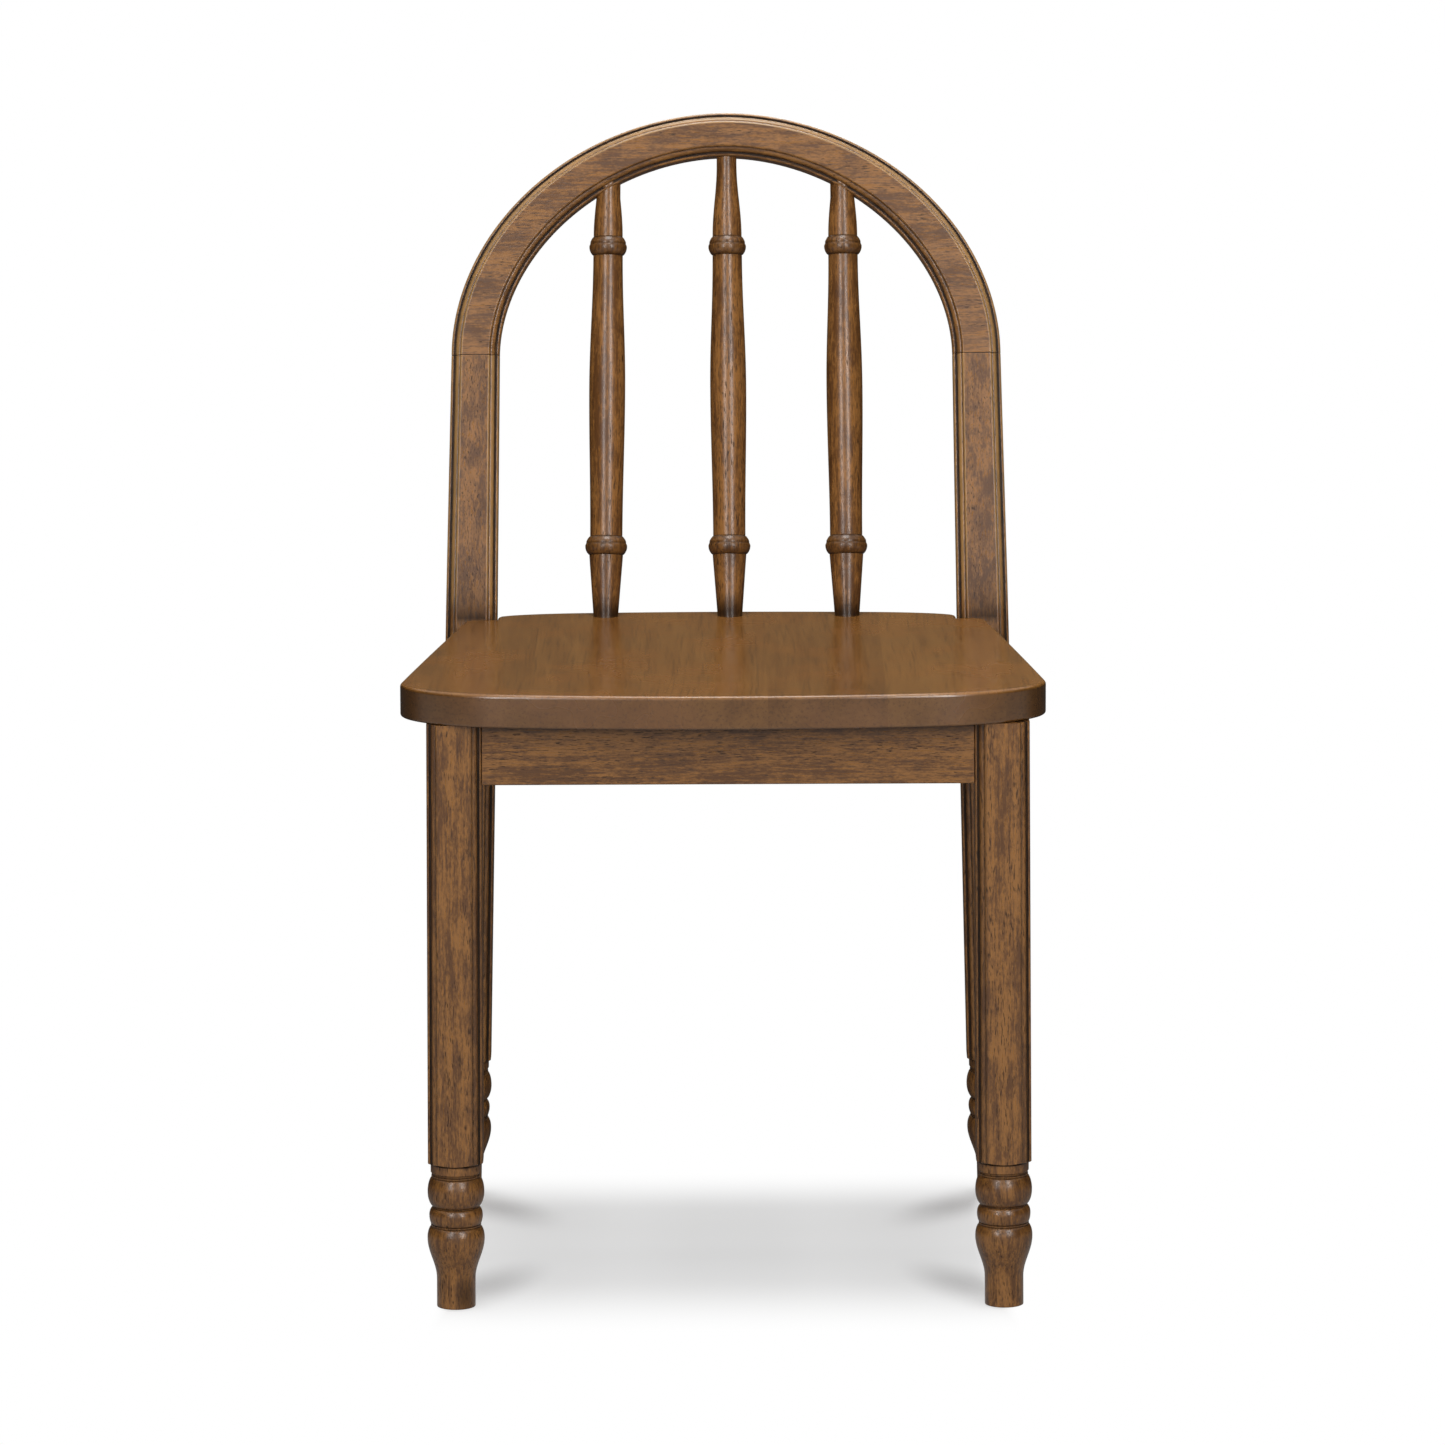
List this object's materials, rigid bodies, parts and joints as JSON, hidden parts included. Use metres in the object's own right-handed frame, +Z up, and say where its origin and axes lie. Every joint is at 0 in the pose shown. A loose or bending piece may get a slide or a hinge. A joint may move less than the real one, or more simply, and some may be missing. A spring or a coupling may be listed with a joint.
{
  "type": "spindle back side chair",
  "caption": "Dining side chair with a solid bowed seat, turned feet, square moulded legs, an arched back rail and turned spindles.",
  "frame": {"origin": "on the floor, under the middle of the chair's bounding box", "axes": "+Z up; -Y the way the sitter faces; +X towards the right as one looks at the front of the chair"},
  "size_m": [0.48, 0.4932, 0.8595],
  "materials": {
    "seat_wood": "brown stain under satin lacquer",
    "frame_wood": "brown stain under satin lacquer, darker in the quirks",
    "plain_wood": "sawn and sanded, no finish",
    "zinc_screw": "zinc plated",
    "nylon_glide": "moulded, satin"
  },
  "bodies": {
    "root": {"seat_panel": "seat_wood", "arch_rail": "frame_wood", "front_leg_left": "frame_wood", "front_leg_right": "frame_wood", "back_leg_left": "frame_wood", "back_leg_right": "frame_wood", "spindle_left": "frame_wood", "spindle_middle": "frame_wood", "spindle_right": "frame_wood", "front_rail": "frame_wood", "rear_rail": "frame_wood", "side_rail_left": "frame_wood", "side_rail_right": "frame_wood", "corner_block_front_left": "plain_wood", "corner_block_front_right": "plain_wood", "corner_block_back_left": "plain_wood", "corner_block_back_right": "plain_wood", "block_screw_front_left_end": "zinc_screw", "block_screw_front_left_side": "zinc_screw", "block_screw_front_right_end": "zinc_screw", "block_screw_front_right_side": "zinc_screw", "block_screw_back_left_end": "zinc_screw", "block_screw_back_left_side": "zinc_screw", "block_screw_back_right_end": "zinc_screw", "block_screw_back_right_side": "zinc_screw", "seat_screw_front_left": "zinc_screw", "seat_screw_front_right": "zinc_screw", "seat_screw_back_left": "zinc_screw", "seat_screw_back_right": "zinc_screw", "arch_dowel_left_inner": "plain_wood", "arch_dowel_left_outer": "plain_wood", "arch_dowel_right_inner": "plain_wood", "arch_dowel_right_outer": "plain_wood", "foot_glide_front_left": "nylon_glide", "foot_glide_front_right": "nylon_glide", "foot_glide_back_left": "nylon_glide", "foot_glide_back_right": "nylon_glide"}
  },
  "joints": []
}
